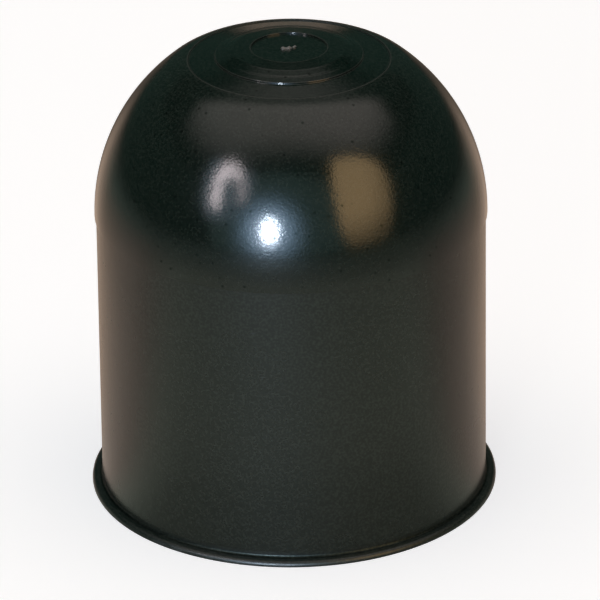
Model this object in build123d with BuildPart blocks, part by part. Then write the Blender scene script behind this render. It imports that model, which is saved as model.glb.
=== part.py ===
"""Tow ball cover: a one-piece moulded plastic cap that pushes over a 50 mm coupling ball.

Millimetres, +Z up, origin at the centre of the rim's base. The cap is a body of revolution
with a ring of grip ribs inside. Every radius builds outwards from the ball, and every crown
height builds upwards from the ball's top, so the cap follows the ball that it covers.
"""

import os
from math import acos, degrees, radians, sqrt, tan

from build123d import *

# The ball, and how the ribs hold it
BALL_DIAMETER = 50.0
GRIP_CLEARANCE = 0.05  # rib tips to ball, on the radius
RIB_COUNT = 12
RIB_WIDTH = 1.6  # across the tip
RIB_HEIGHT = 2.65  # wall to tip at the shoulder
RIB_FOOT = 9.0  # plain mouth left below the ribs
LEAD_IN_LENGTH = 22.0  # stretch over which the tips close in on the ball
LEAD_IN_OPENING = 1.6  # how much wider the tips stand at the foot, on the radius

# Skirt and rim
WALL = 2.3
SHOULDER_HEIGHT = 45.4  # rim base to the plane through the ball's centre
DRAFT = 0.25  # degrees, opening towards the mouth
MOUTH_CHAMFER = 0.5
RIM_OVERHANG = 1.57
RIM_THICKNESS = 0.9
RIM_EDGE_RADIUS = 0.75  # top edge only, for the base is the mould's parting face
RIM_EDGE_SHARE = 0.9  # most of the rim's thickness that its round may take
RIM_ROOT_RADIUS = 0.4

# Dome
DOME_PROUD = 0.25  # step left where the dome and skirt halves of the mould meet
BLEND_START = 19.0  # radius at which the dome begins to flatten into the crown
CROWN_INNER_RADIUS = 49.0

# Stepped crown, from the lip inwards
CROWN_WALL = 1.8  # under the dimple floor
LIP_RADIUS = 15.4
LIP_STEP = 0.15
RECESS_FALL = 0.6
PAD_RADIUS = 11.3
PAD_STEP = 0.3
PAD_FALL = 1.1
PAD_BREAK_RADIUS = 8.6  # inside it the pad lies flatter
PAD_BREAK_FALL = 0.25  # how far that flatter part falls
DIMPLE_RADIUS = 5.8
DIMPLE_DEPTH = 0.3
STEP_BEVEL = 0.05  # slope of the step walls, measured across
GATE_RADIUS = 1.1
GATE_TOP_RADIUS = 0.8
GATE_HEIGHT = 0.5

# Radii that follow from the ball
ball_radius = BALL_DIAMETER / 2
grip_radius = ball_radius + GRIP_CLEARANCE
inner_radius = grip_radius + RIB_HEIGHT
skirt_radius = inner_radius + WALL
dome_radius = skirt_radius + DOME_PROUD
draft_slope = tan(radians(DRAFT))
foot_radius = skirt_radius + draft_slope * (SHOULDER_HEIGHT - RIM_THICKNESS)
rim_radius = foot_radius + RIM_OVERHANG
mouth_radius = inner_radius + draft_slope * (SHOULDER_HEIGHT - MOUTH_CHAMFER)
rim_edge_radius = min(RIM_EDGE_RADIUS, RIM_EDGE_SHARE * RIM_THICKNESS)

# Ribs reach from the ball to the middle of the wall, and run up into the dome
root_radius = inner_radius + WALL / 2
rib_rise = sqrt(root_radius**2 - grip_radius**2)
rib_angle = degrees(RIB_WIDTH / grip_radius)

# Heights that follow from the ball pushed home, with its centre in the shoulder plane
ball_top = SHOULDER_HEIGHT + ball_radius
dimple_floor = ball_top + CROWN_WALL
gate_top = dimple_floor + GATE_HEIGHT
pad_inner = dimple_floor + DIMPLE_DEPTH
pad_break = pad_inner - PAD_BREAK_FALL
pad_outer = pad_inner - PAD_FALL
recess_inner = pad_outer - PAD_STEP
recess_outer = recess_inner - RECESS_FALL
lip_height = recess_outer + LIP_STEP

# Inside, the flatter crown arc meets the dome where their two circles cross
crown_drop = CROWN_INNER_RADIUS - ball_radius
crown_rise = (CROWN_INNER_RADIUS**2 - inner_radius**2 - crown_drop**2) / (2 * crown_drop)
crown_edge = sqrt(inner_radius**2 - crown_rise**2)

# One grip rib: a thin sector whose tip follows the ball and whose root is buried in the wall
with BuildPart() as rib:
    with BuildSketch(Plane.XZ.rotated((0, 0, -rib_angle / 2))):
        with BuildLine():
            tip = Polyline(
                (root_radius, RIB_FOOT),
                (grip_radius + LEAD_IN_OPENING, RIB_FOOT),
                (grip_radius, RIB_FOOT + LEAD_IN_LENGTH),
                (grip_radius, SHOULDER_HEIGHT + rib_rise),
            )
            root_arc = RadiusArc(tip @ 1, (root_radius, SHOULDER_HEIGHT), root_radius)
            Line(root_arc @ 1, tip @ 0)
        make_face()
    revolve(axis=Axis.Z, revolution_arc=rib_angle)

# The whole wall in section, turned about the axis, with the ribs set round its inside
with BuildPart() as cover:
    with BuildSketch(Plane.XZ) as section:
        with BuildLine() as outline:
            skirt = Polyline(
                (mouth_radius + MOUTH_CHAMFER, 0),
                (rim_radius, 0),
                (rim_radius, RIM_THICKNESS),
                (foot_radius, RIM_THICKNESS),
                (skirt_radius, SHOULDER_HEIGHT),
                (dome_radius, SHOULDER_HEIGHT),
            )
            dome = CenterArc(
                (0, SHOULDER_HEIGHT),
                dome_radius,
                0,
                degrees(acos(BLEND_START / dome_radius)),
            )
            blend = TangentArc(dome @ 1, (LIP_RADIUS, lip_height), tangent=dome % 1)
            crown = Polyline(
                blend @ 1,
                (LIP_RADIUS - STEP_BEVEL, recess_outer),
                (PAD_RADIUS + STEP_BEVEL, recess_inner),
                (PAD_RADIUS, pad_outer),
                (PAD_BREAK_RADIUS, pad_break),
                (DIMPLE_RADIUS, pad_inner),
                (DIMPLE_RADIUS - STEP_BEVEL, dimple_floor),
                (GATE_RADIUS, dimple_floor),
                (GATE_TOP_RADIUS, gate_top),
                (0, gate_top),
                (0, ball_top),
            )
            inner_crown = RadiusArc(
                crown @ 1,
                (crown_edge, SHOULDER_HEIGHT + crown_rise),
                CROWN_INNER_RADIUS,
            )
            inner_dome = RadiusArc(
                inner_crown @ 1,
                (inner_radius, SHOULDER_HEIGHT),
                inner_radius,
            )
            inner_wall = Polyline(
                inner_dome @ 1,
                (mouth_radius, MOUTH_CHAMFER),
                skirt @ 0,
            )
        make_face()
        fillet(section.vertices().group_by(Axis.X)[-1].sort_by(Axis.Y)[-1], rim_edge_radius)
        fillet(section.vertices().sort_by_distance((foot_radius, RIM_THICKNESS))[0], RIM_ROOT_RADIUS)
    revolve(axis=Axis.Z)
    with PolarLocations(0, RIB_COUNT):
        add(rib.part)

cover.part.label = "ball_cover"

os.makedirs("parts", exist_ok=True)
export_step(cover.part, "parts/ball_cover.step")
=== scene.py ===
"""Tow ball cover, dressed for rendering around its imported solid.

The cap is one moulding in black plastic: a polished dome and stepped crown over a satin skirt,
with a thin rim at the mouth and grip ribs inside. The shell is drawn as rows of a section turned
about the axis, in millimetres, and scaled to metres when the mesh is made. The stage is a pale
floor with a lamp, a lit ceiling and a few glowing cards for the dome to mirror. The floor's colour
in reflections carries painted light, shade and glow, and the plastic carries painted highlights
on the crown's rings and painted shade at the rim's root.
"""

import math

import bpy
import numpy as np
from mathutils import Matrix, Vector


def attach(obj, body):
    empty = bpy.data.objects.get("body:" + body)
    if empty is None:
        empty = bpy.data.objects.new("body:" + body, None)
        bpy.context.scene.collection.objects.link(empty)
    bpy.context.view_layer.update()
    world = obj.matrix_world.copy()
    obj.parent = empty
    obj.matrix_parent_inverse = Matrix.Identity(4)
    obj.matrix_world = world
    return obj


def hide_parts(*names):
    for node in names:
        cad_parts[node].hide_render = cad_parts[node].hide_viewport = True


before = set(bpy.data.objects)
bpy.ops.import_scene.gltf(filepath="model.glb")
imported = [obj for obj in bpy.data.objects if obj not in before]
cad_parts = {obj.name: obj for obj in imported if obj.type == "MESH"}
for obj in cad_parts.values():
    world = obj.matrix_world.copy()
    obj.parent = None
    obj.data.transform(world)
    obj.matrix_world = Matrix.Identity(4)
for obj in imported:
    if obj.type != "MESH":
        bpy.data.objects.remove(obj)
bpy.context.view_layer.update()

bl_info = {
    "name": "Tow Ball Cover",
    "version": (1, 0, 0),
    "blender": (4, 5, 0),
    "location": "3D View > Sidebar > Ball Cover",
    "description": "Builds a moulded tow ball cover and a plain studio to show it in",
    "category": "Add Mesh",
}

MM = 0.001
NODE = "ball_cover"
SLOT = "black_plastic"
DARK = (0.0, 0.0, 0.0)


def number(name, description, value, **options):
    """A number property."""
    return bpy.props.FloatProperty(name=name, description=description, default=value, **options)


def length(name, description, millimetres):
    """A size property, written in millimetres and kept in metres."""
    return number(name, description, millimetres * MM, unit="LENGTH", precision=5)


def colour(name, description, rgb):
    """A linear colour property."""
    return bpy.props.FloatVectorProperty(
        name=name, description=description, default=rgb, subtype="COLOR", min=0.0, max=1.0
    )


def share(name, description, value):
    """A property between nought and one."""
    return number(name, description, value, min=0.0, max=1.0, subtype="FACTOR")


def angle(name, description, degrees):
    """An angle property, written in degrees."""
    return number(name, description, math.radians(degrees), unit="ROTATION")


def level(name, description, radiance):
    """The radiance of a lamp or a card."""
    return number(name, description, radiance, min=0.0)


class CoverSizes(bpy.types.PropertyGroup):
    """Sizes of the moulding, with the names that its solid uses, and of its small rounds."""

    ball_diameter: length("Ball diameter", "Coupling ball that the cap covers", 50.0)
    grip_clearance: length("Grip clearance", "Rib tips to ball, on the radius", 0.05)
    rib_count: bpy.props.IntProperty(
        name="Ribs", description="Grip ribs round the inside", default=12, min=3
    )
    rib_width: length("Rib width", "Across a rib's tip", 1.6)
    rib_height: length("Rib height", "Wall to tip at the shoulder", 2.65)
    rib_foot: length("Rib foot", "Plain mouth left below the ribs", 9.0)
    lead_in_length: length("Lead-in", "Stretch over which the tips close in", 22.0)
    lead_in_opening: length("Lead-in opening", "Extra radius at the rib's foot", 1.6)
    wall: length("Wall", "Thickness of the skirt", 2.3)
    shoulder_height: length("Shoulder height", "Rim base to the ball's centre", 45.4)
    draft: angle("Draft", "Opening of the skirt towards the mouth", 0.25)
    mouth_chamfer: length("Mouth chamfer", "Bevel inside the mouth", 0.5)
    rim_overhang: length("Rim overhang", "How far the rim stands out", 1.57)
    rim_thickness: length("Rim thickness", "Height of the rim", 0.9)
    rim_edge_radius: length("Rim edge", "Round on the rim's top edge", 0.75)
    rim_root_radius: length("Rim root", "Round where rim and skirt meet", 0.4)
    dome_proud: length("Dome step", "Step at the shoulder's mould line", 0.25)
    blend_start: length("Blend start", "Radius where the dome flattens", 19.0)
    crown_inner_radius: length("Inner crown", "Radius of the arc under the crown", 49.0)
    crown_wall: length("Crown wall", "Thickness under the dimple", 1.8)
    lip_radius: length("Lip radius", "Outer ring of the crown", 15.4)
    lip_step: length("Lip step", "Step down inside the lip", 0.15)
    recess_fall: length("Recess fall", "Slope of the recess ring", 0.6)
    pad_radius: length("Pad radius", "Middle ring of the crown", 11.3)
    pad_step: length("Pad step", "Step up to the pad", 0.3)
    pad_fall: length("Pad fall", "Slope of the pad", 1.1)
    pad_break_radius: length("Pad break", "Radius inside which the pad lies flatter", 8.6)
    pad_break_fall: length("Pad break fall", "How far that flatter part falls", 0.25)
    dimple_radius: length("Dimple radius", "Inner ring of the crown", 5.8)
    dimple_depth: length("Dimple depth", "Step down inside the pad", 0.3)
    step_lean: length("Step lean", "Slope of the crown's step walls, measured across", 0.01)
    gate_radius: length("Gate radius", "Stub left by the moulding gate", 1.1)
    gate_height: length("Gate height", "Height of that stub", 0.5)
    micro_round: length("Edge break", "Round on every small edge", 0.025)
    mouth_round: length("Mouth round", "Round on the mouth's chamfer", 0.1)
    lip_round: length("Lip round", "Round on the lip's edge", 0.015)
    recess_round: length("Recess round", "Round at the recess's outer foot", 0.05)
    pad_foot_round: length("Pad foot round", "Round where recess and pad meet", 0.07)
    pad_round: length("Pad round", "Round on the pad's edge", 0.10)
    pad_break_round: length("Pad break round", "Round where the pad turns flatter", 2.5)
    dimple_round: length("Dimple round", "Round on the dimple's edge", 0.05)
    tool_mark_radius: length("Tool mark", "Radius of the turned mark on the pad", 10.0)
    tool_mark_reach: length("Tool mark reach", "Middle of that mark to its edge", 0.3)
    tool_mark_depth: length("Tool mark depth", "Depth of that mark", 0.035)
    tool_mark_round: length("Tool mark round", "Round on that mark", 0.6)
    rib_tip_round: length("Rib tip round", "Round on a rib's tip", 0.20)
    rib_root_round: length("Rib root round", "Fillet between rib and wall", 0.30)


class PlasticLook(bpy.types.PropertyGroup):
    """Colours and gloss of the moulded plastic."""

    black: colour("Black", "Body colour of the plastic", (0.0002, 0.0048, 0.0034))
    brown_black: colour("Brown black", "Warmer patches of the body", (0.0010, 0.0050, 0.0036))
    grey_black: colour("Grey black", "Fine pale grain of the body", (0.0185, 0.0255, 0.0212))
    green_black: colour("Green black", "Tinge of the turned crown", (0.0008, 0.0066, 0.0048))
    # Pale dust and rubbed edges; the same colour also paints highlights as pale lines on the
    # crown's rings
    bloom: colour("Bloom", "Pale dust and rubbed edges", (0.060, 0.058, 0.052))
    torn: colour("Torn", "Rough plastic where the gate broke off", (0.16, 0.155, 0.15))
    dome_roughness: share("Dome roughness", "Polished half of the mould", 0.15)
    crown_roughness: share("Crown roughness", "Turned rings of the crown", 0.11)
    skirt_roughness: share("Skirt roughness", "Satin half of the mould", 0.27)
    rim_roughness: share("Rim roughness", "Rim at the mouth", 0.38)
    inside_roughness: share("Inside roughness", "Core side of the mould", 0.42)


class StageLook(bpy.types.PropertyGroup):
    """The floor, the lights and the camera. A light or card has its level under its own name."""

    floor: colour("Floor", "Pale sheet under the part", (0.81, 0.78, 0.72))
    floor_lift: colour("Floor lift", "Whiteness of the floor in view", (0.54, 0.56, 0.60))
    # Floor tones seen only in reflections, over which the floor's colour lays painted light and
    # shadow
    front_floor: colour("Front floor", "Floor mirrored in front of the part", (0.72, 0.79, 0.66))
    side_floor: colour("Side floor", "Floor mirrored beside the part", (0.64, 0.52, 0.44))
    far_floor: colour("Far floor", "Floor mirrored far off, not behind", (0.50, 0.68, 0.57))
    # Colour of a painted pool of the lamp's light on the floor as mirrored
    lamp_floor: colour("Lamp floor", "Floor mirrored under the lamp", (0.62, 0.86, 1.0))
    back_floor: colour("Back floor", "Floor mirrored behind the part", (0.64, 0.48, 0.37))
    background: colour("Background", "Seen past the floor's edge", (1.0, 1.0, 1.0))
    room: colour("Room", "Dim surroundings that the dome mirrors", (0.024, 0.046, 0.037))
    key: level("Key", "Lamp ahead, as the part mirrors it", 150.0)
    key_wash: level("Key wash", "The same lamp, as it lights matt surfaces", 6.0)
    fill: level("Fill", "Wide light overhead", 1.5)
    inside: level("Inside", "Small light in the mouth", 2.5)
    key_halo: level("Key halo", "Glow about the lamp", 6.4)
    ceiling: level("Ceiling", "Lit ceiling", 1.05)
    haze: level("Haze", "Dim room ahead", 0.42)
    warm_card: level("Warm card", "Amber light on the right", 3.6)
    hook_left: level("Hook left", "Bright leg of the hooked light", 18.0)
    hook_right: level("Hook right", "Dim leg of the hooked light", 8.5)
    hook_halo: level("Hook halo", "Glow about the hooked light", 1.2)
    back_wall: level("Back wall", "Strip of wall behind the part", 0.44)
    camera_elevation: angle("Camera elevation", "Height of the view over the horizon", 24.94)
    camera_roll: angle("Camera roll", "Lean of the view to the right", 0.72)
    camera_distance: number("Camera distance", "Lens to the part", 0.8047, unit="LENGTH")
    camera_lens: number("Lens", "Focal length in millimetres", 312.5)


def maths(operation, reflected=False):
    """A method of a Wire that adds a Math node, with the other value first where reflected."""

    def method(self, other=0.0):
        pair = (other, self) if reflected else (self, other)
        return self.bench.node("ShaderNodeMath", {"operation": operation}, dict(enumerate(pair)))

    return method


class Wire:
    """One output of a node tree. Arithmetic on it adds Math nodes to that tree."""

    __add__, __radd__ = maths("ADD"), maths("ADD", True)
    __sub__, __rsub__ = maths("SUBTRACT"), maths("SUBTRACT", True)
    __mul__, __rmul__ = maths("MULTIPLY"), maths("MULTIPLY", True)
    __truediv__, __rtruediv__ = maths("DIVIDE"), maths("DIVIDE", True)
    __pow__, __abs__ = maths("POWER"), maths("ABSOLUTE")
    at_least, at_most = maths("MAXIMUM"), maths("MINIMUM")

    def __init__(self, bench, socket):
        self.bench = bench
        self.socket = socket

    def out(self, name):
        """Another output of the same node."""
        return Wire(self.bench, self.socket.node.outputs[name])


class Bench:
    """Adds nodes to one tree, which starts empty."""

    # Places of a Mix node's colour sockets
    MIX_FIRST, MIX_SECOND, MIX_RESULT = 6, 7, 2

    def __init__(self, tree):
        self.tree = tree
        tree.nodes.clear()

    def node(self, kind, settings=None, sockets=None):
        """A node of that kind, its settings made first and its sockets set or linked after."""
        made = self.tree.nodes.new(kind)
        for name, value in (settings or {}).items():
            setattr(made, name, value)
        for key, value in (sockets or {}).items():
            if isinstance(value, Wire):
                self.tree.links.new(value.socket, made.inputs[key])
            else:
                made.inputs[key].default_value = value
        return Wire(self, made.outputs[0]) if made.outputs else None

    def surface(self, shader):
        """Ends a material's tree with that shader."""
        self.node("ShaderNodeOutputMaterial", None, {"Surface": shader})

    def place(self):
        """The place on the object's own axes."""
        return self.node("ShaderNodeTexCoord").out("Object")

    def axes(self, place):
        """The three coordinates of a place."""
        parts = self.node("ShaderNodeSeparateXYZ", None, {0: place})
        return parts.out("X"), parts.out("Y"), parts.out("Z")

    def gap(self, place, centre):
        """The distance from a place to a centre."""
        apart = self.node("ShaderNodeVectorMath", {"operation": "DISTANCE"}, {0: place, 1: centre})
        return apart.out("Value")

    def rise(self, value, low, high):
        """Nought below low, one above high, smooth between. It falls where low is the larger."""
        return self.node(
            "ShaderNodeMapRange",
            {"interpolation_type": "SMOOTHSTEP"},
            {"Value": value, "From Min": low, "From Max": high},
        )

    def mix(self, factor, first, second):
        """A colour between two, each a Wire or three numbers."""
        first, second = (c if isinstance(c, Wire) else (*c, 1.0) for c in (first, second))
        mixed = self.node(
            "ShaderNodeMix",
            {"data_type": "RGBA"},
            {"Factor": factor, self.MIX_FIRST: first, self.MIX_SECOND: second},
        )
        return Wire(self, mixed.socket.node.outputs[self.MIX_RESULT])

    def noise(self, place, scale, detail=2.0, roughness=0.5):
        """Noise in space, between nought and one, with features about 1 / scale metres across."""
        return self.node(
            "ShaderNodeTexNoise",
            None,
            {"Vector": place, "Scale": scale, "Detail": detail, "Roughness": roughness},
        )

    def dots(self, place, scale, size, chosen):
        """Round dots in space, each about its cell's middle, in the cells whose chance is chosen.

        Both size and chosen are the two ends of a rise.
        """
        cells = self.node("ShaderNodeTexVoronoi", None, {"Vector": place, "Scale": scale})
        chance = self.node("ShaderNodeSeparateColor", None, {0: cells.out("Color")})
        return self.rise(cells, *size) * self.rise(chance, *chosen)


def new_material(name):
    """An empty material of that name and the bench for its nodes."""
    material = bpy.data.materials.new(name)
    material.use_nodes = True
    return material, Bench(material.node_tree)


def arc(centre_z, radius, first, last, steps):
    """Points on an arc about a centre on the axis, both ends included, by angle in radians."""
    return [
        (radius * math.cos(a), centre_z + radius * math.sin(a))
        for a in np.linspace(first, last, steps + 1)
    ]


def unit(vector):
    """That vector, one long."""
    return vector / np.linalg.norm(vector)


def rounded(corners, steps=4, room_share=0.9):
    """Rows (r, z, normal r, normal z) along corners (r, z, radius), rounded by that radius.

    The solid lies to the left of the way that the corners go. A round takes no more than
    room_share of the shorter run beside it.
    """
    places = [np.array(corner[:2]) for corner in corners]
    runs = [unit(b - a) for a, b in zip(places, places[1:])]
    faces = [np.array((run[1], -run[0])) for run in runs]
    rows = []
    for i, (here, (_, _, radius)) in enumerate(zip(places, corners)):
        if radius == 0.0 or i in (0, len(corners) - 1):
            normal = unit(faces[max(i - 1, 0)] + faces[min(i, len(faces) - 1)])
            rows.append((*here, *normal))
            continue
        back, ahead = -runs[i - 1], runs[i]
        sides = [np.linalg.norm(places[k] - here) for k in (i - 1, i + 1)]
        half = math.acos(np.clip(back @ ahead, -1.0, 1.0)) / 2
        run = min(radius / math.tan(half), room_share * min(sides))
        fitted = run * math.tan(half)
        middle = here + unit(back + ahead) * fitted / math.sin(half)
        start, end = here + back * run - middle, here + ahead * run - middle
        turn = math.atan2(start[0] * end[1] - start[1] * end[0], start @ end)
        for a in np.linspace(0.0, turn, steps + 1):
            c, s = math.cos(a), math.sin(a)
            spoke = np.array((c * start[0] - s * start[1], s * start[0] + c * start[1]))
            rows.append((*(middle + spoke), *(unit(spoke) * math.copysign(1.0, turn))))
    return rows


class Section:
    """The cap's section in millimetres, worked out from its sizes as the solid is."""

    # Heights of the rows on the straight walls: the skirt's outside, then down the inside
    SKIRT_ROWS = (6.0, 13.0, 20.0, 27.0, 34.0, 41.0)
    GRIP_ROWS = (40.0, 35.0)
    LEAD_IN_ROWS = (25.0, 19.0, 14.0, 10.5)
    MOUTH_ROWS = (6.0, 3.0)
    # Rows about the ribs' foot, by height over it
    RIB_FOOT_ROWS = (0.6, 0.25, 0.12, 0.05, 0.02, -0.02, -0.3)
    # Steps along each arc and in over the gate's stub
    DOME_STEPS, BLEND_STEPS, STUB_STEPS = 40, 8, 20
    INNER_CROWN_STEPS, INNER_DOME_STEPS, RIB_END_STEPS = 9, 9, 8

    RIM_EDGE_SHARE = 0.9  # most of the rim's thickness that its round may take
    MOUTH_START = 0.2  # where the outer rows begin, over the mouth's chamfer
    RIB_FOOT_RISE, RIB_FOOT_CUT = 0.25, 0.2  # round at the ribs' foot: its height and its depth
    # Where the dimple's plain floor ends and the stub's rows begin, in shares of the gate's radius
    STUB_PLAIN, STUB_EDGE, STUB_START = 1.9, 1.7, 1.6

    def __init__(self, sizes):
        for name in CoverSizes.__annotations__:
            value = getattr(sizes, name)
            setattr(self, name, value if name in ("rib_count", "draft") else value / MM)
        self.ball_radius = self.ball_diameter / 2
        self.grip = self.ball_radius + self.grip_clearance
        self.inner = self.grip + self.rib_height
        self.skirt = self.inner + self.wall
        self.dome = self.skirt + self.dome_proud
        self.slope = math.tan(self.draft)
        self.foot = self.skirt + self.slope * (self.shoulder_height - self.rim_thickness)
        self.rim = self.foot + self.rim_overhang
        self.mouth = self.inner + self.slope * (self.shoulder_height - self.mouth_chamfer)
        self.ball_top = self.shoulder_height + self.ball_radius
        self.dimple_floor = self.ball_top + self.crown_wall
        self.pad_inner = self.dimple_floor + self.dimple_depth
        self.pad_break = self.pad_inner - self.pad_break_fall
        self.pad_outer = self.pad_inner - self.pad_fall
        self.recess_inner = self.pad_outer - self.pad_step
        self.recess_outer = self.recess_inner - self.recess_fall
        self.lip_height = self.recess_outer + self.lip_step

    def wall_radius(self, z):
        """Radius of the inside between the ribs."""
        if z >= self.shoulder_height:
            return math.sqrt(max(self.inner**2 - (z - self.shoulder_height) ** 2, 0.0))
        return self.inner + self.slope * (self.shoulder_height - z)

    def skirt_radius(self, z):
        """Radius of the outside of the skirt."""
        return self.skirt + self.slope * (self.shoulder_height - z)

    def rib_stand(self, z):
        """How far a rib's tip stands off the wall at that height, with a round at its foot."""
        if z < self.rib_foot:
            return 0.0
        tip = self.grip
        closing = self.rib_foot + self.lead_in_length - z
        if closing > 0:
            tip += self.lead_in_opening * closing / self.lead_in_length
        short = 1.0 - min((z - self.rib_foot) / self.RIB_FOOT_RISE, 1.0)
        cut = self.RIB_FOOT_CUT * (1.0 - math.sqrt(1.0 - short**2))
        return max(self.wall_radius(z) - tip - cut, 0.0)

    def inner_rows(self):
        """From under the crown's middle down to the mouth."""
        drop = self.crown_inner_radius - self.ball_radius
        rise = (self.crown_inner_radius**2 - self.inner**2 - drop**2) / (2 * drop)
        edge = math.sqrt(self.inner**2 - rise**2)
        crown_centre = self.ball_top - self.crown_inner_radius
        crown_end = math.acos(edge / self.crown_inner_radius)
        dome_start = math.asin(rise / self.inner)
        rib_end = math.acos(self.grip / self.inner)
        arcs = (
            (crown_centre, self.crown_inner_radius, math.pi / 2, crown_end, self.INNER_CROWN_STEPS),
            (self.shoulder_height, self.inner, dome_start, rib_end, self.INNER_DOME_STEPS),
            (self.shoulder_height, self.inner, rib_end, 0.0, self.RIB_END_STEPS),
        )
        rows = [point for ends in arcs for point in arc(*ends)[1:]]
        heights = [*self.GRIP_ROWS, self.rib_foot + self.lead_in_length, *self.LEAD_IN_ROWS]
        heights += [self.rib_foot + up for up in self.RIB_FOOT_ROWS]
        heights += self.MOUTH_ROWS
        return rows + [(self.wall_radius(z), z) for z in heights]

    def outer_rows(self):
        """From the mouth round the rim, up the skirt and dome, and in over the crown."""
        small = self.micro_round
        rim_edge = min(self.rim_edge_radius, self.RIM_EDGE_SHARE * self.rim_thickness)
        corners = [
            (self.mouth, self.mouth_chamfer + self.MOUTH_START, 0.0),
            (self.mouth, self.mouth_chamfer, self.mouth_round),
            (self.mouth + self.mouth_chamfer, 0.0, self.mouth_round),
            (self.rim, 0.0, small),
            (self.rim, self.rim_thickness, rim_edge),
            (self.foot, self.rim_thickness, self.rim_root_radius),
            *((self.skirt_radius(z), z, 0.0) for z in self.SKIRT_ROWS),
            (self.skirt, self.shoulder_height, small),
            (self.dome, self.shoulder_height, small),
            *((r, z, 0.0) for r, z in self.dome_points()),
            (self.lip_radius, self.lip_height, self.lip_round),
            (self.lip_radius - self.step_lean, self.recess_outer, self.recess_round),
            (self.pad_radius + self.step_lean, self.recess_inner, self.pad_foot_round),
            (self.pad_radius, self.pad_outer, self.pad_round),
            *self.pad_corners(),
            (self.dimple_radius, self.pad_inner, self.dimple_round),
            (self.dimple_radius - self.step_lean, self.dimple_floor, small),
            (self.gate_radius * self.STUB_PLAIN, self.dimple_floor, 0.0),
        ]
        stub = np.linspace(self.gate_radius * self.STUB_START, 0.0, self.STUB_STEPS + 1)[:-1]
        return rounded(corners) + [(r, self.dimple_floor, 0.0, 0.0) for r in stub]

    def dome_points(self):
        """Up the dome and over its blend, past the shoulder and short of the lip."""
        turn = math.acos(self.blend_start / self.dome)
        dome = arc(self.shoulder_height, self.dome, 0.0, turn, self.DOME_STEPS)
        start, end = np.array(dome[-1]), np.array((self.lip_radius, self.lip_height))
        normal, chord = np.array((math.cos(turn), math.sin(turn))), end - start
        radius = -(chord @ chord) / (2 * normal @ chord)
        centre = start - radius * normal
        last = math.atan2(*(end - centre)[::-1])
        blend = [
            tuple(centre + radius * np.array((math.cos(a), math.sin(a))))
            for a in np.linspace(turn, last, self.BLEND_STEPS + 1)
        ]
        return dome[1:] + blend[1:-1]

    def pad_corners(self):
        """In over the pad's steeper ring, with one shallow tool mark, to its flatter middle."""
        slope = (self.pad_break - self.pad_outer) / (self.pad_radius - self.pad_break_radius)
        reach, depth = self.tool_mark_reach, self.tool_mark_depth
        for aside, dip in ((reach, 0.0), (0.0, depth), (-reach, 0.0)):
            radius = self.tool_mark_radius + aside
            height = self.pad_outer + slope * (self.pad_radius - radius) - dip
            yield (radius, height, self.tool_mark_round)
        yield (self.pad_break_radius, self.pad_break, self.pad_break_round)

    def stub_height(self, x, y):
        """Torn-off gate stub, as a share of its height: a bent ridge of three lumps."""
        half_length, half_width, lump_pitch = 1.30, 0.52, 0.92
        bend_reach, bend_aside, set_back, set_left = 1.1, 0.70, 0.18, 0.05
        bend = np.clip(x / bend_reach, 0.0, 1.0)
        across = (y + set_back - bend_aside * bend * bend * (3.0 - 2.0 * bend)) / half_width
        along = np.abs(x + set_left) / half_length
        body = np.clip(1.0 - across**2 - along**6, 0.0, 1.0) ** 0.6
        lumps = 0.68 + 0.24 * np.cos(2.0 * np.pi * x / lump_pitch) - 0.18 * np.clip(x, 0.0, 1.0)
        torn = 0.06 * np.sin(9.0 * x + 5.0 * y) + 0.05 * np.sin(13.0 * y - 4.0 * x)
        return body * np.clip(lumps + torn, 0.1, 1.0)


# Columns of the mesh: shares of half a rib's width, out to its fillet, and spans between two ribs
RIB_ACROSS = (0.0, 0.45, 0.64, 0.74, 0.79, 1.0, 1.06, 1.12, 1.20, 1.32, 1.50)
PLAIN_SPANS = 12
RIB_SIDE = 0.06  # draft of a rib's side, as a share of half its width
FULL_STAND = 0.6  # millimetres: ribs that stand lower have smaller rounds
LEAST_STAND = 1e-6


def rib_columns(section):
    """Turn angles round the cap with, at each, the distance from the nearest rib's middle."""
    offsets = [section.rib_width / 2 * across for across in RIB_ACROSS]
    offsets = [-u for u in offsets[:0:-1]] + offsets
    pitch = 2 * math.pi / section.rib_count
    rib_end = offsets[-1] / section.grip
    between = np.linspace(rib_end, pitch - rib_end, PLAIN_SPANS + 1)[1:-1]
    turns, distances = [], []
    for k in range(section.rib_count):
        turns += [k * pitch + u / section.grip for u in offsets]
        turns += [k * pitch + a for a in between]
        distances += [abs(u) for u in offsets] + [math.inf] * len(between)
    return np.array(turns), np.array(distances)


def rib_depth(section, distances, stand):
    """How far a rib stands out over its width: rounded tip, drafted sides, filleted root."""
    half = section.rib_width / 2
    size = min(1.0, stand / FULL_STAND)
    tip_round, root_round = section.rib_tip_round * size, section.rib_root_round * size
    depth = np.zeros_like(distances)
    on_tip = distances <= half
    past = np.clip(distances - (half - tip_round), 0.0, tip_round)
    depth[on_tip] = (stand - tip_round + np.sqrt(tip_round**2 - past**2))[on_tip]
    root = half + RIB_SIDE * half
    in_root = (distances > half) & (distances < root + root_round)
    left = np.clip(root + root_round - distances, 0.0, root_round)
    depth[in_root] = (root_round - np.sqrt(root_round**2 - left**2))[in_root]
    return depth


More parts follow.
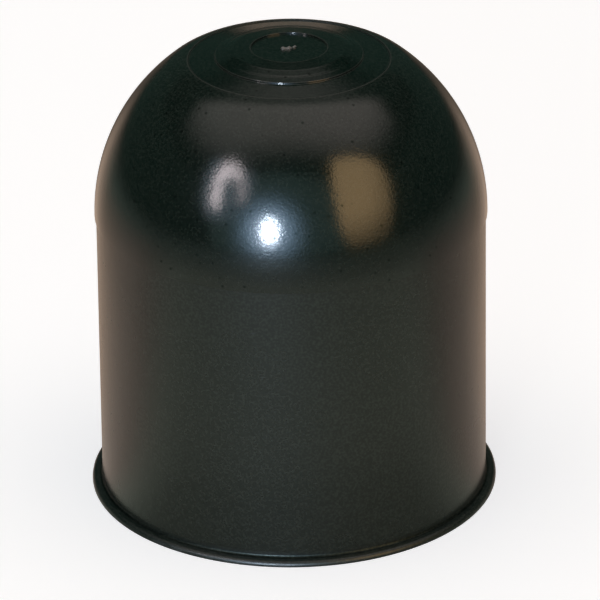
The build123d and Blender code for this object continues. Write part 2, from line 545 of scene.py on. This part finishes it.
def shell_mesh(section):
    """The whole shell as one closed grid: rows down the inside and up the outside, turned."""
    turns, distances = rib_columns(section)
    cos, sin = np.cos(turns), np.sin(turns)
    columns = len(turns)

    def ring(radii, heights):
        return np.stack((radii * cos, radii * sin, np.zeros(columns) + heights), axis=1)

    rings = []
    for r, z in section.inner_rows():
        stand = section.rib_stand(z)
        depth = rib_depth(section, distances, stand) if stand > LEAST_STAND else 0.0
        rings.append(ring(r - depth, z))

    # Given normals for the outside. Where they are nought, Blender works them out
    normals = [np.zeros((1 + len(rings) * columns, 3))]
    for r, z, normal_r, normal_z in section.outer_rows():
        lift = 0.0
        if r < section.gate_radius * section.STUB_EDGE:
            lift = section.gate_height * section.stub_height(r * cos, r * sin)
        rings.append(ring(r, z + lift))
        normals.append(ring(normal_r, normal_z))
    normals.append(np.zeros((1, 3)))

    stub_top = section.dimple_floor + section.gate_height * section.stub_height(0.0, 0.0)
    inner_pole, outer_pole = (0.0, 0.0, section.ball_top), (0.0, 0.0, stub_top)
    points = np.concatenate([[inner_pole], *rings, [outer_pole]])
    here = np.arange(columns)
    pairs = list(zip(here, np.roll(here, -1)))
    starts = [1 + row * columns for row in range(len(rings))]
    faces = [(0, 1 + b, 1 + a) for a, b in pairs]
    for low, high in zip(starts, starts[1:]):
        faces += [(low + a, low + b, high + b, high + a) for a, b in pairs]
    faces += [(starts[-1] + a, starts[-1] + b, len(points) - 1) for a, b in pairs]

    mesh = bpy.data.meshes.new("cover_shell")
    mesh.from_pydata((points * MM).tolist(), [], faces)
    mesh.shade_smooth()
    mesh.update()
    mesh.normals_split_custom_set_from_vertices(np.concatenate(normals).tolist())
    return mesh


# How much each mark pales, dulls or darkens the plastic
# The rings entry is a painted highlight: pale lines along the edges of the crown's rings
PALING = {"rubbed": 0.04, "speck": 0.3, "hairline": 0.05, "haze": 0.05, "rings": 0.26}
DULLING = {"hairline": 0.10, "rubbed": 0.12, "stub": 0.4, "lip": 0.3}
# Darkening feeds Metallic, which on the black body darkens all reflections; the rim-root entry is
# painted shade, a dark band where the skirt meets the rim
DARKENING = {"dent": 0.65, "groove": 0.75}
PATCH_DULLING = 0.07  # between the glossiest and the dullest patch
CROWN_TINGE = 0.35
MOTTLE_MIDDLE, MOTTLE_SMOOTHING = 0.4, 0.45  # how far the polish evens the pale grain out

# Relief of the plastic, in metres
PEEL_RELIEF, PIT_RELIEF, HAIRLINE_RELIEF = 1.2e-5, 6e-6, 5e-7
GRAIN_RELIEF, CROWN_SMOOTHING, TURNED_RELIEF = 1.2e-5, 3e-6, 7e-7

# Noise over the plastic: features per metre, detail and roughness
PATCHES, PEEL, PITS, GRAIN = (45.0, 3.0), (420.0, 2.0), (1400.0, 3.0), (2800.0, 2.0, 0.6)
TURNED_SCALE, TURNED_DETAIL = 2600.0, 2.0
# Clouds: features per metre, detail, and the two levels between which they stand out
MOTTLE, HAZE, RUBBING = (2600.0, 1.0, 0.34, 0.76), (26.0, 3.0, 0.45, 0.75), (260.0, 4.0, 0.55, 0.75)
BROWN_LEVELS = (0.35, 0.65)
# Hairlines are noise drawn out along one slanting way
HAIRLINE_TURN, HAIRLINE_SCALE, HAIRLINES = (0.5, 0.3, 0.9), (90.0, 2600.0, 1500.0), (0.735, 0.78)
# Dots: cells per metre, the ends of their size, and of the chance that picks a cell
SPECKS, DENTS = (420.0, (0.10, 0.05), (0.95, 0.97)), (520.0, (0.17, 0.05), (0.28, 0.33))

# Where zones fade, in millimetres from the edge that each follows: where it ends, then where full
POLISH_FADE, CROWN_RISE, CROWN_FADE, LIP_FADE = (-0.05, 0.05), (-0.4, -0.2), (0.2, 0.0), (-0.5, 0.0)
RIM_FADE, STUB_RISE, STUB_FADE = (2.0, 1.2), (0.10, 0.28), (2.0, 1.7)
CORE_FADE, UNDER_CROWN_FADE = (0.3, 0.0), (0.0, 0.2)
RIM_EDGE_FADE, STEP_EDGE_FADE, STEP_TOP_FADE = (-0.25, -0.02), (-0.10, -0.02), (0.30, 0.0)
# RING_FADE and RING_OUTSET place the painted highlight lines on the crown's rings
RING_FADE, RING_OUTSET = (0.16, 0.05), 0.08
# Where the painted shade at the rim's root fades
ROOT_SHADE_INNER_FADE, ROOT_SHADE_OUTER_FADE, ROOT_SHADE_TOP_FADE = (-0.02, 0.04), (0.55, 0.25), (0.7, 0.4)


class Finish:
    """Zones and marks of the moulded plastic on one bench, each from nought to one."""

    def __init__(self, bench, section):
        self.bench = bench
        self.place = bench.place()
        x, y, self.z = bench.axes(self.place)
        self.radius = (x * x + y * y) ** 0.5
        self.mark_zones(section)
        self.mark_core(section)
        self.mark_edges(section)
        self.mark_surface()

    def fade(self, value, edge, ends):
        """A rise between two ends that are set off from an edge, all in millimetres."""
        return self.bench.rise(value, (edge + ends[0]) * MM, (edge + ends[1]) * MM)

    def cloud(self, scale, detail, low, high):
        """Patches of noise that stand out between two levels."""
        return self.bench.rise(self.bench.noise(self.place, scale, detail), low, high)

    def mark_zones(self, section):
        """The polished half of the mould, the crown and its lip, the rim and the gate's stub."""
        self.polish = self.fade(self.z, section.shoulder_height, POLISH_FADE)
        self.aloft = self.fade(self.z, section.recess_outer, CROWN_RISE)
        self.crown = self.fade(self.radius, section.lip_radius, CROWN_FADE) * self.aloft
        self.lip = self.fade(self.radius, section.lip_radius, LIP_FADE) * self.crown
        self.rim = self.fade(self.z, 0.0, RIM_FADE)
        self.stub = self.fade(self.z, section.dimple_floor, STUB_RISE)
        self.stub = self.stub * self.fade(self.radius, 0.0, STUB_FADE)

    def mark_core(self, section):
        """The inside, parted from the outside along the middle of the wall."""
        wall_middle = section.skirt - section.wall / 2
        crown_middle = section.ball_top + section.crown_wall / 2
        above = (self.z - section.shoulder_height * MM).at_least(0.0)
        off_centre = (self.radius * self.radius + above * above) ** 0.5
        crown_bend = 0.5 / (section.crown_inner_radius * MM)
        under_crown = crown_middle * MM - self.radius * self.radius * crown_bend - self.z
        self.inside = self.fade(off_centre, wall_middle, CORE_FADE)
        self.inside = self.inside * self.fade(under_crown, 0.0, UNDER_CROWN_FADE)

    def mark_edges(self, section):
        """Rubbed edges, painted highlights as pale lines on the crown's rings, and painted shade as
        a dark band where the skirt meets the rim.
        """
        rim_edge = self.fade(self.radius, section.rim, RIM_EDGE_FADE)
        step_edge = self.fade(self.radius, section.dome, STEP_EDGE_FADE)
        step_edge = step_edge * self.fade(self.z, section.shoulder_height, STEP_TOP_FADE)
        self.rubbed = (rim_edge + step_edge) * self.cloud(*RUBBING)

        # Painted highlights: pale lines just outside the lip and the dimple, and on the pad's edge
        lip, dimple = section.lip_radius + RING_OUTSET, section.dimple_radius + RING_OUTSET
        gaps = [abs(self.radius - line * MM) for line in (lip, section.pad_radius, dimple)]
        self.rings = sum(self.fade(gap, 0.0, RING_FADE) for gap in gaps) * self.aloft

        # Painted shade: a dark band round the skirt's foot, just over the rim
        self.groove = self.fade(self.radius, section.foot, ROOT_SHADE_INNER_FADE)
        self.groove = self.groove * self.fade(self.radius, section.foot, ROOT_SHADE_OUTER_FADE)
        self.groove = self.groove * self.fade(self.z, section.rim_thickness, ROOT_SHADE_TOP_FADE)

    def mark_surface(self):
        """What covers the whole moulding: patches, grain, hairlines, specks, dents and haze."""
        bench = self.bench
        self.patches = bench.noise(self.place, *PATCHES)
        self.peel = bench.noise(self.place, *PEEL)
        self.pits = bench.noise(self.place, *PITS)
        self.grain = bench.noise(self.place, *GRAIN)
        self.mottle = self.cloud(*MOTTLE)
        self.haze = self.cloud(*HAZE) * (1.0 - self.polish)
        streaked = bench.node(
            "ShaderNodeMapping",
            None,
            {"Vector": self.place, "Rotation": HAIRLINE_TURN, "Scale": HAIRLINE_SCALE},
        )
        self.hairline = bench.rise(bench.noise(streaked, 1.0, 1.0), *HAIRLINES)
        self.speck = bench.dots(self.place, *SPECKS)
        self.dent = bench.dots(self.place, *DENTS) * self.polish
        self.turned = bench.node(
            "ShaderNodeTexNoise",
            {"noise_dimensions": "1D"},
            {"W": self.radius, "Scale": TURNED_SCALE, "Detail": TURNED_DETAIL},
        )

    def total(self, weights):
        """The marks named, each times its weight, added up."""
        return sum(getattr(self, name) * weight for name, weight in weights.items())

    def colour(self, look):
        """Body colour with its grain, pale marks of dust and wear, painted highlights along the
        crown's rings, and the torn stub.
        """
        bench = self.bench
        body = bench.mix(bench.rise(self.patches, *BROWN_LEVELS), look.black, look.brown_black)
        evened = self.polish * (MOTTLE_MIDDLE - self.mottle) * MOTTLE_SMOOTHING
        body = bench.mix(self.mottle + evened, body, look.grey_black)
        body = bench.mix(self.crown * CROWN_TINGE, body, look.green_black)
        body = bench.mix(self.total(PALING), body, look.bloom)
        return bench.mix(self.stub, body, look.torn)

    def roughness(self, look):
        """Roughness of each zone, with the patches and the dull marks."""
        gloss = look.skirt_roughness + self.polish * (look.dome_roughness - look.skirt_roughness)
        gloss = gloss + self.crown * (look.crown_roughness - look.dome_roughness)
        gloss = gloss + self.rim * (look.rim_roughness - look.skirt_roughness)
        gloss = gloss + self.inside * (look.inside_roughness - look.skirt_roughness)
        return gloss + (self.patches - 0.5) * PATCH_DULLING + self.total(DULLING)

    def bump(self):
        """Orange peel, pits, grain, hairlines and the crown's turning marks."""
        height = self.peel * PEEL_RELIEF + self.pits * PIT_RELIEF
        height = height + self.grain * (GRAIN_RELIEF - self.crown * CROWN_SMOOTHING)
        height = height + self.crown * self.turned * TURNED_RELIEF
        height = height - self.hairline * HAIRLINE_RELIEF
        return self.bench.node(
            "ShaderNodeBump", None, {"Strength": 1.0, "Distance": 1.0, "Height": height}
        )


def plastic_material(look, section):
    """Black moulded plastic: polished dome, satin skirt, tool marks, dust and rubbed edges, with
    painted highlights on the crown's rings and painted shade at the rim's root.
    """
    material, bench = new_material(SLOT)
    finish = Finish(bench, section)
    shader = bench.node(
        "ShaderNodeBsdfPrincipled",
        None,
        {
            "Base Color": finish.colour(look),
            # Metallic darkens the dents and paints the shade at the rim's root
            "Metallic": finish.total(DARKENING),
            "Roughness": finish.roughness(look),
            "Normal": finish.bump(),
            "IOR": 1.5,
        },
    )
    bench.surface(shader)
    return material


class COVER_OT_shell(bpy.types.Operator):
    """Build the moulded shell in place of its solid"""

    bl_idname = "cover.shell"
    bl_label = "Cover Shell"
    bl_options = {"REGISTER", "UNDO"}

    def execute(self, context):
        section = Section(context.scene.cover_sizes)
        shell = bpy.data.objects.new("cover_shell", shell_mesh(section))
        context.scene.collection.objects.link(shell)
        shell.data.materials.append(plastic_material(context.scene.cover_plastic, section))
        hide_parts(NODE)
        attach(shell, "root")
        return {"FINISHED"}


def direction(azimuth, elevation):
    """A unit vector from the part, by degrees to the right of the camera and over the horizon."""
    a, e = math.radians(azimuth), math.radians(elevation)
    return Vector((math.sin(a) * math.cos(e), -math.cos(a) * math.cos(e), math.sin(e)))


def area_light(name, place, aim, size, radiance, rgb, shape="ELLIPSE", sees=("glossy", "diffuse")):
    """An area light of that radiance, hidden from the camera and from the rays not named."""
    data = bpy.data.lights.new(name, "AREA")
    data.shape = shape
    data.size, data.size_y = size
    surface = size[0] * size[1] * (math.pi / 4 if shape == "ELLIPSE" else 1.0)
    data.energy = radiance * math.pi * surface
    data.color = rgb
    lamp = bpy.data.objects.new(name, data)
    lamp.location = place
    lamp.rotation_euler = (Vector(aim) - Vector(place)).to_track_quat("-Z", "Y").to_euler()
    lamp.visible_camera = False
    lamp.visible_glossy = "glossy" in sees
    lamp.visible_diffuse = "diffuse" in sees
    bpy.context.scene.collection.objects.link(lamp)


def glow_card(name, corners, radiance, tone, lights_all=False):
    """A glowing card that only reflections show, unless it lights everything.

    The tone is a colour, or a function that makes one from a bench and a place on the card.
    """
    material, bench = new_material(name)
    rgb = tone(bench, bench.place()) if callable(tone) else (*tone, 1.0)
    bench.surface(bench.node("ShaderNodeEmission", None, {"Color": rgb, "Strength": radiance}))
    mesh = bpy.data.meshes.new(name)
    mesh.from_pydata([tuple(corner) for corner in corners], [], [tuple(range(len(corners)))])
    mesh.materials.append(material)
    card = bpy.data.objects.new(name, mesh)
    card.visible_camera = card.visible_transmission = card.visible_shadow = False
    card.visible_diffuse = lights_all
    bpy.context.scene.collection.objects.link(card)


def ceiling_tone(bench, place):
    """A soft squarish oval of light, dimmer over the part and brighter on the right."""
    middle, forward_reach, backward_reach, square = 0.22, 0.72, 0.85, 1.5
    x, y, _ = bench.axes(place)
    forward = (y - middle).at_most(0.0) * (1 / forward_reach)
    backward = (y - middle).at_least(0.0) * (1 / backward_reach)
    across = x / (0.95 - 0.70 * bench.rise(y, 0.25, 0.7))
    along = forward * forward + backward * backward
    oval = ((across * across) ** square + along**square) ** (0.5 / square)
    dimming = 1.0 - 0.77 * bench.rise(y, 0.12, 0.55) + 0.26 * bench.rise(y, 0.7, 1.0)
    hue = bench.mix(bench.rise(x, -0.7, 0.5), (0.84, 0.78, 0.73), (1.0, 0.88, 0.82))
    return bench.mix(bench.rise(oval, 1.4, 0.6) * dimming, DARK, hue)


def warm_tone(bench, place):
    """Amber light that dims downwards and to the right."""
    x, _, z = bench.axes(place)
    dimming = 0.35 + 0.65 * bench.rise(x, 1.12, 0.72)
    return bench.mix(bench.rise(z, -0.15, 0.45) * dimming, DARK, (1.0, 0.67, 0.34))


def halo_tone(centre, reach):
    """A blue glow that dies away from its centre, down to the level of the haze."""
    core, sharpness = 0.12, 4.0

    def tone(bench, place):
        glow = bench.rise(bench.gap(place, centre), reach, core * reach) ** sharpness
        return bench.mix(glow, (0.036, 0.058, 0.054), (0.44, 0.70, 1.0))

    return tone


def rosy_tone(bench, place):
    """Cloudy white with a rosy tinge."""
    cloud = bench.rise(bench.noise(place, 16.0, 2.0), 0.30, 0.62)
    return bench.mix(cloud, (0.40, 0.36, 0.38), (1.0, 0.90, 0.93))


def wall_tone(bench, place):
    """Tan, fading at both ends."""
    x, _, _ = bench.axes(place)
    return bench.mix(bench.rise(x * x, 0.010, 0.001), DARK, (1.0, 0.76, 0.60))


def haze_tone(bench, place):
    """Dim green-grey light from the room ahead, fading at its edges."""
    middle_x, middle_z, reach, core = 0.15, 0.55, 1.5, 0.3
    x, _, z = bench.axes(place)
    aside, up = x - middle_x, z - middle_z
    gap = (aside * aside + up * up) ** 0.5
    return bench.mix(bench.rise(gap, reach, core), DARK, (0.60, 1.0, 0.94))


def painted_floor_reflection(bench, look, place):
    """The floor's colour in reflections, with painted light and shade in it, and the bearing: -1
    before the part and 1 behind it.
    """
    x, y, _ = bench.axes(place)
    off_axis = (x * x + y * y) ** 0.5
    bearing = y / off_axis
    ahead = bench.rise(bearing, -0.2, -0.7)
    hue = bench.mix(bench.rise(bearing, -0.5, 0.0), look.front_floor, look.side_floor)
    hue = bench.mix(bench.rise(bearing, 0.1, 0.75), hue, look.back_floor)
    far = bench.rise(off_axis, 0.12, 0.42) * bench.rise(bearing, 0.85, 0.5)
    hue = bench.mix(far, hue, look.far_floor)

    # Painted light and shade: brightest near the part and falling off, a painted shadow straight
    # behind it, dimmer to the right, brighter just behind, painted contact shade at its foot ahead,
    # a painted bright band just beyond, and painted dimming further ahead
    fall = off_axis / (0.20 + 0.40 * bench.rise(bearing, 0.6, 0.95))
    light = 0.06 + 0.20 * ahead + 0.9 / (1.0 + fall * fall)
    painted_back_shadow = 0.85 * bench.rise(bearing, 0.85, 0.96) * bench.rise(off_axis, 0.06, 0.14)
    painted_right_dimming = x / off_axis * (0.12 - 0.10 * bench.rise(bearing, 0.1, 0.5))
    near_back = bench.rise(bearing, 0.2, 0.5) * bench.rise(off_axis, 0.11, 0.07)
    painted_back_brightening = 0.1 * bench.rise(bearing, -0.2, 0.2) + 0.25 * near_back
    painted_foot_shade = ahead * (0.44 - 0.82 * bench.rise(off_axis, 0.045, 0.09))
    painted_front_dimming = 0.40 * ahead * bench.rise(off_axis, 0.11, 0.19)
    light = light * (1.0 - painted_back_shadow) * (1.0 - painted_right_dimming) * (1.0 + painted_back_brightening)
    light = light * (1.0 - painted_foot_shade) * (1.0 - painted_front_dimming)
    hue = bench.mix(light, DARK, hue)

    # A painted pool of the lamp's light on the mirrored floor, before and left of the part
    lamp_place, lamp_reach, lamp_core, lamp_share = (-0.12, -0.50, 0.0), 0.26, 0.06, 0.8
    painted_lamp_pool = bench.rise(bench.gap(place, lamp_place), lamp_reach, lamp_core) * lamp_share
    return bench.mix(painted_lamp_pool, hue, look.lamp_floor), bearing


def floor_material(look):
    """A pale matt sheet, white where it is seen, that is seen through from below; in reflections it
    carries painted light, shade and glow.
    """
    material, bench = new_material("pale_floor")
    place = bench.place()
    rays = bench.node("ShaderNodeLightPath")
    mirrored = rays.out("Is Glossy Ray") + rays.out("Is Transmission Ray")
    fibre = bench.rise(bench.noise(place, 900.0, 3.0), 0.3, 0.7)
    tone = bench.mix(fibre, look.floor, [0.985 * c for c in look.floor])
    hue, bearing = painted_floor_reflection(bench, look, place)
    shade = bench.mix(mirrored, tone, hue)
    matt = bench.node("ShaderNodeBsdfPrincipled", None, {"Base Color": shade, "Roughness": 0.9})

    # Painted glow: in reflections the floor also glows in its own hue, more behind the part than
    # before it
    painted_glow_share = mirrored * (0.15 + 0.45 * bench.rise(bearing, -0.7, 0.1))
    painted_reflection_glow = bench.mix(painted_glow_share, DARK, hue)
    lift = bench.mix(rays.out("Is Camera Ray"), painted_reflection_glow, look.floor_lift)
    glow = bench.node("ShaderNodeEmission", None, {"Color": lift})
    sheet = bench.node("ShaderNodeAddShader", None, {0: matt, 1: glow})
    clear = bench.node("ShaderNodeBsdfTransparent")
    under = bench.node("ShaderNodeNewGeometry").out("Backfacing")
    shader = bench.node("ShaderNodeMixShader", None, {0: under, 1: sheet, 2: clear})
    bench.surface(shader)
    return material


# The stage in metres, +Y away from the camera
FLOOR = ((-1.6, -1.6, 0.0), (1.6, -1.6, 0.0), (1.6, 2.2, 0.0), (-1.6, 2.2, 0.0))
CEILING = ((-1.6, -0.9, 0.95), (-1.6, 1.5, 0.95), (1.6, 1.5, 0.95), (1.6, -0.9, 0.95))
ROOM_AHEAD = ((-2.0, -1.5, -0.1), (2.0, -1.5, -0.1), (2.0, -1.5, 2.2), (-2.0, -1.5, 2.2))
MIDDLE = Vector((0.0, 0.0, 0.05))  # about which the lamp and the cards stand
KEY_BEARING, KEY_REACH, KEY_SIZE, WASH_SIZE = (-12.7, 11.5), 0.75, (0.085, 0.165), (0.20, 0.20)
HALO_DISTANCE, HALO_REACH, HALO_STEP = 1.25, 0.88, 10
FILL_PLACE, FILL_SIZE = (-0.1, 0.0, 1.5), (2.2, 2.2)
INSIDE_PLACE, INSIDE_SIZE = (0.0, 0.0, 0.002), (0.036, 0.036)
CARD_REACH, HOOK_HALO_REACH, BACK_WALL_REACH = 1.2, 1.36, 1.35

# Colours of the lights
BLUE, PALE_BLUE, HALO_BLUE = (0.76, 0.86, 1.0), (0.80, 0.92, 1.0), (0.55, 0.80, 1.0)
CREAM, WARM_WHITE = (1.0, 0.97, 0.94), (1.0, 0.98, 0.95)

# Outlines of the cards that the dome mirrors, by bearing and height in degrees
WARM_CARD = (
    (35.9, 47.7), (41.9, 47.9), (53.2, 45.1), (61.9, 40.9), (66.7, 36.1), (68.3, 30.7),
    (67.4, 24.8), (65.0, 18.6), (62.3, 11.6), (59.3, 4.7), (56.5, -0.7), (49.6, -1.8),
    (40.9, -2.1), (34.1, -2.0), (30.9, 2.6), (29.0, 10.9), (28.4, 21.3), (29.2, 32.6),
    (31.6, 41.4),
)
HOOK_LEFT = (
    (-49.7, 44.5), (-53.1, 41.8), (-54.6, 36.7), (-53.6, 30.0), (-52.1, 23.8), (-49.4, 19.0),
    (-46.3, 16.9), (-44.9, 18.7), (-45.6, 23.0), (-47.2, 27.3), (-47.7, 31.5), (-46.4, 35.4),
    (-43.9, 37.3), (-40.1, 37.1), (-40.4, 41.2), (-44.4, 44.3),
)
HOOK_RIGHT = (
    (-44.4, 44.3), (-39.5, 42.9), (-34.5, 39.1), (-31.3, 33.9), (-30.2, 28.4), (-30.9, 24.0),
    (-32.2, 23.5), (-33.8, 27.7), (-35.8, 33.0), (-40.1, 37.1), (-40.4, 41.2),
)
HOOK_HALO = (
    (-54.6, 48.5), (-61.3, 43.3), (-62.2, 34.9), (-59.3, 25.6), (-55.7, 17.0), (-49.2, 11.9),
    (-41.6, 12.9), (-31.0, 16.9), (-25.2, 23.0), (-24.6, 32.8), (-29.4, 42.5), (-40.9, 49.5),
)
BACK_WALL = ((175.0, 5.5), (185.0, 5.5), (185.0, 10.5), (175.0, 10.5))

# Where the camera sees a point on the axis, in pixels of a square frame
FRAME_PIXELS, AIM, AIM_SEEN_AT = 600, Vector((0.0, 0.0, 0.039)), (292.1, 247.1)
SENSOR_WIDTH, CLIP_NEAR, CLIP_FAR = 36.0, 0.01, 50.0


def outline(pairs, reach):
    """Corners of a card, from its outline and its distance from the part's middle."""
    return [MIDDLE + reach * direction(*pair) for pair in pairs]


class COVER_OT_stage(bpy.types.Operator):
    """Set up the floor, the lights, the dim room and the camera"""

    bl_idname = "cover.stage"
    bl_label = "Studio Stage"
    bl_options = {"REGISTER", "UNDO"}

    def execute(self, context):
        look = context.scene.cover_stage
        self.lay_floor(context, look)
        self.light_room(context, look)
        self.hang_lights(look)
        self.hang_cards(look)
        self.place_camera(context, look)
        context.scene.view_settings.view_transform = "Standard"
        return {"FINISHED"}

    @staticmethod
    def lay_floor(context, look):
        mesh = bpy.data.meshes.new("floor")
        mesh.from_pydata(FLOOR, [], [(0, 1, 2, 3)])
        mesh.materials.append(floor_material(look))
        floor = bpy.data.objects.new("floor", mesh)
        context.scene.collection.objects.link(floor)

    @staticmethod
    def light_room(context, look):
        world = bpy.data.worlds.new("room")
        world.use_nodes = True
        context.scene.world = world
        bench = Bench(world.node_tree)
        plain = bench.node("ShaderNodeBackground", None, {"Color": (*look.background, 1.0)})
        room = bench.node("ShaderNodeBackground", None, {"Color": (*look.room, 1.0)})
        seen = bench.node("ShaderNodeLightPath").out("Is Camera Ray")
        shader = bench.node("ShaderNodeMixShader", None, {0: seen, 1: room, 2: plain})
        bench.node("ShaderNodeOutputWorld", None, {"Surface": shader})

    @staticmethod
    def hang_lights(look):
        key_place, base = MIDDLE + KEY_REACH * direction(*KEY_BEARING), (0.0, 0.0, 0.0)
        gloss, matt = ("glossy",), ("diffuse",)
        area_light("key", key_place, MIDDLE, KEY_SIZE, look.key, BLUE, sees=gloss)
        area_light("key_wash", key_place, MIDDLE, WASH_SIZE, look.key_wash, PALE_BLUE, sees=matt)
        area_light("fill", FILL_PLACE, base, FILL_SIZE, look.fill, CREAM, "RECTANGLE", matt)
        area_light("inside", INSIDE_PLACE, MIDDLE, INSIDE_SIZE, look.inside, WARM_WHITE)

    @staticmethod
    def hang_cards(look):
        key_way = direction(*KEY_BEARING)
        centre = MIDDLE + HALO_DISTANCE * key_way
        across = key_way.cross(Vector((0.0, 0.0, 1.0))).normalized()
        upright = across.cross(key_way)
        ring = [math.radians(a) for a in range(0, 360, HALO_STEP)]
        spokes = [math.cos(a) * across + math.sin(a) * upright for a in ring]
        disc = [centre + HALO_REACH * spoke for spoke in spokes]
        glow_card("key_halo", disc, look.key_halo, halo_tone(centre, HALO_REACH))
        glow_card("ceiling", CEILING, look.ceiling, ceiling_tone, lights_all=True)
        glow_card("haze", ROOM_AHEAD, look.haze, haze_tone)
        outlines = (
            ("warm_card", WARM_CARD, CARD_REACH, warm_tone),
            ("hook_left", HOOK_LEFT, CARD_REACH, rosy_tone),
            ("hook_right", HOOK_RIGHT, CARD_REACH, rosy_tone),
            ("hook_halo", HOOK_HALO, HOOK_HALO_REACH, HALO_BLUE),
            ("back_wall", BACK_WALL, BACK_WALL_REACH, wall_tone),
        )
        for name, pairs, reach, tone in outlines:
            glow_card(name, outline(pairs, reach), getattr(look, name), tone)

    @staticmethod
    def place_camera(context, look):
        data = bpy.data.cameras.new("camera")
        data.lens = look.camera_lens
        data.sensor_width = SENSOR_WIDTH
        data.clip_start, data.clip_end = CLIP_NEAR, CLIP_FAR
        camera = bpy.data.objects.new("camera", data)
        context.scene.collection.objects.link(camera)
        context.scene.camera = camera
        focal_pixels = data.lens / data.sensor_width * FRAME_PIXELS
        back = direction(0.0, math.degrees(look.camera_elevation))
        right = Vector((1.0, 0.0, 0.0))
        up = back.cross(right)
        aside, below = ((FRAME_PIXELS / 2 - seen) / focal_pixels for seen in AIM_SEEN_AT)
        ahead = (-back + aside * right - below * up).normalized()
        right = (right - math.tan(look.camera_roll) * up).normalized()
        right = (right - right.dot(ahead) * ahead).normalized()
        up = right.cross(ahead)
        turned = Matrix((right, up, -ahead)).transposed().to_4x4()
        camera.matrix_world = Matrix.Translation(AIM + look.camera_distance * back) @ turned


class COVER_PT_sidebar(bpy.types.Panel):
    """Sizes, finishes and steps of the tow ball cover"""

    bl_idname = "COVER_PT_sidebar"
    bl_label = "Tow Ball Cover"
    bl_space_type = "VIEW_3D"
    bl_region_type = "UI"
    bl_category = "Ball Cover"

    def draw(self, context):
        for group_name, group in GROUPS.items():
            box = self.layout.box()
            for name in group.__annotations__:
                box.prop(getattr(context.scene, group_name), name)
        for operator in (COVER_OT_shell, COVER_OT_stage):
            self.layout.operator(operator.bl_idname)


GROUPS = {"cover_sizes": CoverSizes, "cover_plastic": PlasticLook, "cover_stage": StageLook}
CLASSES = (*GROUPS.values(), COVER_OT_shell, COVER_OT_stage, COVER_PT_sidebar)


def register():
    for cls in CLASSES:
        bpy.utils.register_class(cls)
    for name, group in GROUPS.items():
        setattr(bpy.types.Scene, name, bpy.props.PointerProperty(type=group))


def unregister():
    for name in GROUPS:
        delattr(bpy.types.Scene, name)
    for cls in reversed(CLASSES):
        bpy.utils.unregister_class(cls)


def main():
    register()
    bpy.ops.cover.shell()
    bpy.ops.cover.stage()


if __name__ == "__main__":
    main()
